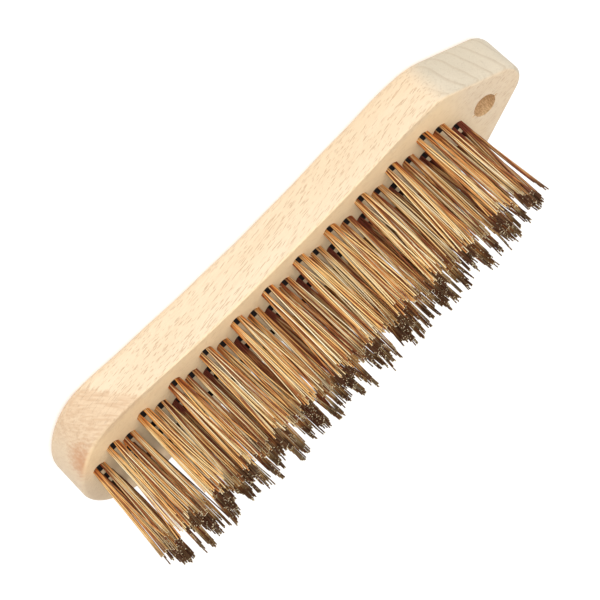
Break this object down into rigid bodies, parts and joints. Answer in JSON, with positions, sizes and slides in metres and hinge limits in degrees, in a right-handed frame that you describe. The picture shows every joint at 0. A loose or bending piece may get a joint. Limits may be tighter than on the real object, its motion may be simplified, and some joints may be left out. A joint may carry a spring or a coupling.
{
  "type": "wire brush",
  "caption": "Hand wire brush: a waisted beech block with a hanging hole at its tapered end and staggered rows of straight brass wire tufts, each folded into a blind hole.",
  "frame": {"origin": "centre of the flat back face of the block, on which the brush rests with its wire up", "axes": "+X along the block towards its round end, +Z from the back face towards the wire tips"},
  "size_m": [0.1762, 0.0397, 0.052],
  "materials": {
    "beech": "bare sanded beech",
    "brass_wire": "bright drawn wire, darker at the roots and tips"
  },
  "bodies": {
    "root": {"handle_block": "beech", "tuft_row1_01": "brass_wire", "tuft_row1_02": "brass_wire", "tuft_row1_03": "brass_wire", "tuft_row1_04": "brass_wire", "tuft_row1_05": "brass_wire", "tuft_row1_06": "brass_wire", "tuft_row1_07": "brass_wire", "tuft_row1_08": "brass_wire", "tuft_row1_09": "brass_wire", "tuft_row1_10": "brass_wire", "tuft_row1_11": "brass_wire", "tuft_row2_01": "brass_wire", "tuft_row2_02": "brass_wire", "tuft_row2_03": "brass_wire", "tuft_row2_04": "brass_wire", "tuft_row2_05": "brass_wire", "tuft_row2_06": "brass_wire", "tuft_row2_07": "brass_wire", "tuft_row2_08": "brass_wire", "tuft_row2_09": "brass_wire", "tuft_row2_10": "brass_wire", "tuft_row2_11": "brass_wire", "tuft_row2_12": "brass_wire", "tuft_pair_row3_row4_01": "brass_wire", "tuft_pair_row3_row4_02": "brass_wire", "tuft_pair_row3_row4_03": "brass_wire", "tuft_pair_row3_row4_04": "brass_wire", "tuft_pair_row3_row4_05": "brass_wire", "tuft_pair_row3_row4_06": "brass_wire", "tuft_pair_row3_row4_07": "brass_wire", "tuft_pair_row3_row4_08": "brass_wire", "tuft_pair_row3_row4_09": "brass_wire", "tuft_pair_row3_row4_10": "brass_wire", "tuft_pair_row3_row4_11": "brass_wire", "tuft_pair_row3_row4_12": "brass_wire", "tuft_pair_row3_row4_13": "brass_wire", "tuft_row5_01": "brass_wire", "tuft_row5_02": "brass_wire", "tuft_row5_03": "brass_wire", "tuft_row5_04": "brass_wire", "tuft_row5_05": "brass_wire", "tuft_row5_06": "brass_wire", "tuft_row5_07": "brass_wire", "tuft_row5_08": "brass_wire", "tuft_row5_09": "brass_wire", "tuft_row5_10": "brass_wire", "tuft_row5_11": "brass_wire", "tuft_row5_12": "brass_wire", "tuft_row6_01": "brass_wire", "tuft_row6_02": "brass_wire", "tuft_row6_03": "brass_wire", "tuft_row6_04": "brass_wire", "tuft_row6_05": "brass_wire", "tuft_row6_06": "brass_wire", "tuft_row6_07": "brass_wire", "tuft_row6_08": "brass_wire", "tuft_row6_09": "brass_wire", "tuft_row6_10": "brass_wire", "tuft_row6_11": "brass_wire"}
  },
  "joints": []
}
